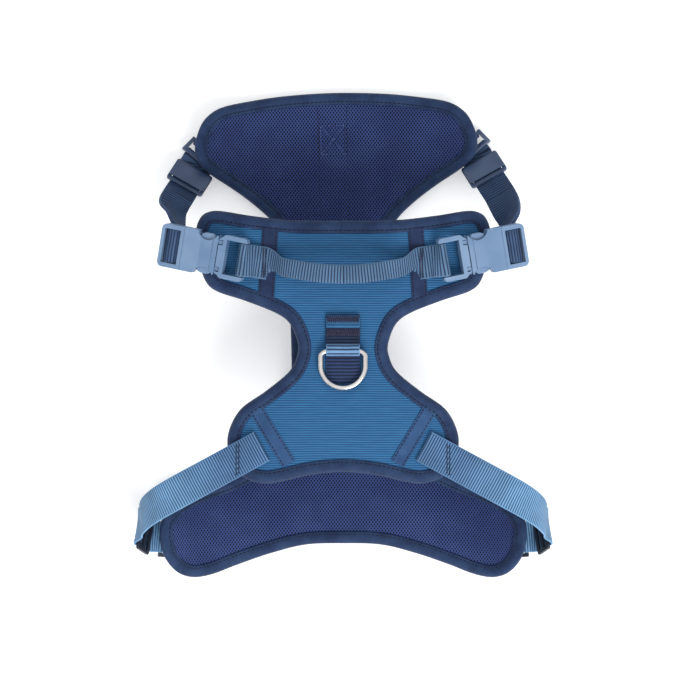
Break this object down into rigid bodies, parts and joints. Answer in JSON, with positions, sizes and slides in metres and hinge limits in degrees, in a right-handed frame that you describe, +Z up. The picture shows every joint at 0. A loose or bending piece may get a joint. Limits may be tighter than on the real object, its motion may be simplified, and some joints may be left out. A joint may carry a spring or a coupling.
{
  "type": "dog harness",
  "caption": "No pull dog harness with padded hourglass back panel, chest and belly panel, curved neck straps, girth straps with side release buckles, handle, and back and front leash rings.",
  "frame": {"origin": "centre of the bounding box in plan, on the surface that the chest and belly panel lies on", "axes": "+Y towards the dog's tail (belly and girth end), -Y towards the neck end, +X to the dog's right, +Z up through the back panel"},
  "size_m": [0.327, 0.3887, 0.1146],
  "materials": {
    "shell_blue": "woven ribbed polyester, mid blue",
    "lining_mesh": "spacer air mesh, dark navy",
    "foam": "soft closed-cell foam, hidden",
    "binding_navy": "grosgrain binding tape, navy",
    "tape_navy": "grosgrain tape, dark navy",
    "webbing_light": "ribbed nylon webbing, light steel blue",
    "webbing_slate": "ribbed nylon webbing, slate blue",
    "buckle_blue": "moulded acetal, fine matt, steel blue",
    "hardware_slate": "moulded acetal, slate blue",
    "ring_nickel": "polished nickel plate"
  },
  "bodies": {
    "harness": {"chest_webbing": "webbing_slate", "chest_shell": "shell_blue", "chest_foam": "foam", "chest_lining": "lining_mesh", "chest_binding": "binding_navy", "back_lining": "lining_mesh", "back_foam": "foam", "back_shell": "shell_blue", "back_binding": "binding_navy", "rear_tape_l": "tape_navy", "rear_tape_r": "tape_navy", "neck_tape_l": "tape_navy", "neck_tape_r": "tape_navy", "leash_patch": "tape_navy", "leash_loop": "webbing_light", "front_loop": "webbing_slate", "handle_fold_l": "webbing_light", "handle_fold_r": "webbing_light", "handle_anchor_l": "webbing_light", "handle_anchor_r": "webbing_light", "buckle_plug_l": "buckle_blue", "buckle_plug_r": "buckle_blue", "girth_strap_l": "webbing_slate", "girth_strap_r": "webbing_slate", "girth_tab_l": "webbing_slate", "girth_tab_r": "webbing_slate", "neck_strap_l": "webbing_light", "neck_strap_r": "webbing_light", "neck_return_l": "webbing_light", "neck_return_r": "webbing_light", "neck_tab_l": "webbing_slate", "neck_tab_r": "webbing_slate"},
    "handle": {"handle_grip": "webbing_light"},
    "leash_ring": {"leash_ring": "ring_nickel"},
    "front_ring": {"front_ring": "ring_nickel"},
    "socket_l": {"buckle_socket_l": "buckle_blue"},
    "arm_rear_l": {"arm_rear_l": "buckle_blue"},
    "arm_front_l": {"arm_front_l": "buckle_blue"},
    "girth_glide_l": {"girth_glide_l": "hardware_slate"},
    "girth_loop_l": {"girth_loop_l": "hardware_slate"},
    "neck_glide_l": {"neck_glide_l": "hardware_slate"},
    "neck_loop_l": {"neck_loop_l": "hardware_slate"},
    "socket_r": {"buckle_socket_r": "buckle_blue"},
    "arm_rear_r": {"arm_rear_r": "buckle_blue"},
    "arm_front_r": {"arm_front_r": "buckle_blue"},
    "girth_glide_r": {"girth_glide_r": "hardware_slate"},
    "girth_loop_r": {"girth_loop_r": "hardware_slate"},
    "neck_glide_r": {"neck_glide_r": "hardware_slate"},
    "neck_loop_r": {"neck_loop_r": "hardware_slate"}
  },
  "joints": [
    {"name": "handle_lean", "type": "hinge", "parent": "harness", "child": "handle", "pos_m": [0, 0.04925, 0.1], "axis": [1, 0, 0], "range_deg": [-100, 60], "deforming": ["handle_fold_l", "handle_fold_r"]},
    {"name": "leash_ring_swing", "type": "hinge", "parent": "harness", "child": "leash_ring", "pos_m": [0, -0.01425, 0.093], "axis": [-1, 0, 0], "range_deg": [0, 175]},
    {"name": "front_ring_swing", "type": "hinge", "parent": "harness", "child": "front_ring", "pos_m": [-0.0006, -0.03725, 0.0039], "axis": [1, 0, 0], "range_deg": [0, 175]},
    {"name": "socket_l_release", "type": "slide", "parent": "harness", "child": "socket_l", "axis": [-0.9568, 0.2034, -0.2079], "range_m": [0, 0.046], "deforming": ["girth_strap_l"]},
    {"name": "arm_rear_l_press", "type": "hinge", "parent": "harness", "child": "arm_rear_l", "pos_m": [-0.09123, 0.06792, 0.09072], "axis": [-0.2334, -0.1103, 0.9661], "range_deg": [0, 7], "stiffness_Nm_per_rad": 0.1, "deforming": ["arm_rear_l"]},
    {"name": "arm_front_l_press", "type": "hinge", "parent": "harness", "child": "arm_front_l", "pos_m": [-0.09477, 0.04808, 0.08759], "axis": [0.2334, 0.1103, -0.9661], "range_deg": [0, 7], "stiffness_Nm_per_rad": 0.1, "deforming": ["arm_front_l"]},
    {"name": "girth_glide_l_slide", "type": "slide", "parent": "harness", "child": "girth_glide_l", "axis": [-0.4494, -0.799, 0.3995], "range_m": [0, 0.012]},
    {"name": "girth_loop_l_turn", "type": "hinge", "parent": "harness", "child": "girth_loop_l", "pos_m": [-0.10997, 0.14699, 0.00571], "axis": [0.7488, -0.6627, 0.0011], "range_deg": [0, 20]},
    {"name": "neck_glide_l_slide", "type": "slide", "parent": "harness", "child": "neck_glide_l", "axis": [-0.3003, 0.3865, 0.872], "range_m": [0, 0.012], "deforming": ["neck_return_l"]},
    {"name": "neck_loop_l_turn", "type": "hinge", "parent": "harness", "child": "neck_loop_l", "pos_m": [-0.13485, -0.16334, 0.01522], "axis": [-0.0977, -0.9947, 0.0319], "range_deg": [-15, 20]},
    {"name": "socket_r_release", "type": "slide", "parent": "harness", "child": "socket_r", "axis": [0.9568, 0.2034, -0.2079], "range_m": [0, 0.046], "deforming": ["girth_strap_r"]},
    {"name": "arm_rear_r_press", "type": "hinge", "parent": "harness", "child": "arm_rear_r", "pos_m": [0.09123, 0.06792, 0.09072], "axis": [-0.2334, 0.1103, -0.9661], "range_deg": [0, 7], "stiffness_Nm_per_rad": 0.1, "deforming": ["arm_rear_r"]},
    {"name": "arm_front_r_press", "type": "hinge", "parent": "harness", "child": "arm_front_r", "pos_m": [0.09477, 0.04808, 0.08759], "axis": [0.2334, -0.1103, 0.9661], "range_deg": [0, 7], "stiffness_Nm_per_rad": 0.1, "deforming": ["arm_front_r"]},
    {"name": "girth_glide_r_slide", "type": "slide", "parent": "harness", "child": "girth_glide_r", "axis": [0.4494, -0.799, 0.3995], "range_m": [0, 0.012]},
    {"name": "girth_loop_r_turn", "type": "hinge", "parent": "harness", "child": "girth_loop_r", "pos_m": [0.09849, 0.153, 0.00571], "axis": [0.7488, 0.6627, -0.0011], "range_deg": [0, 20]},
    {"name": "neck_glide_r_slide", "type": "slide", "parent": "harness", "child": "neck_glide_r", "axis": [0.3003, 0.3865, 0.872], "range_m": [0, 0.012], "deforming": ["neck_return_r"]},
    {"name": "neck_loop_r_turn", "type": "hinge", "parent": "harness", "child": "neck_loop_r", "pos_m": [0.13485, -0.16334, 0.01522], "axis": [-0.0977, 0.9947, -0.0319], "range_deg": [-15, 20]}
  ],
  "couplings": [
    {"joint": "arm_front_l_press", "follows": "arm_rear_l_press", "ratio": 1},
    {"joint": "arm_front_r_press", "follows": "arm_rear_r_press", "ratio": 1}
  ]
}
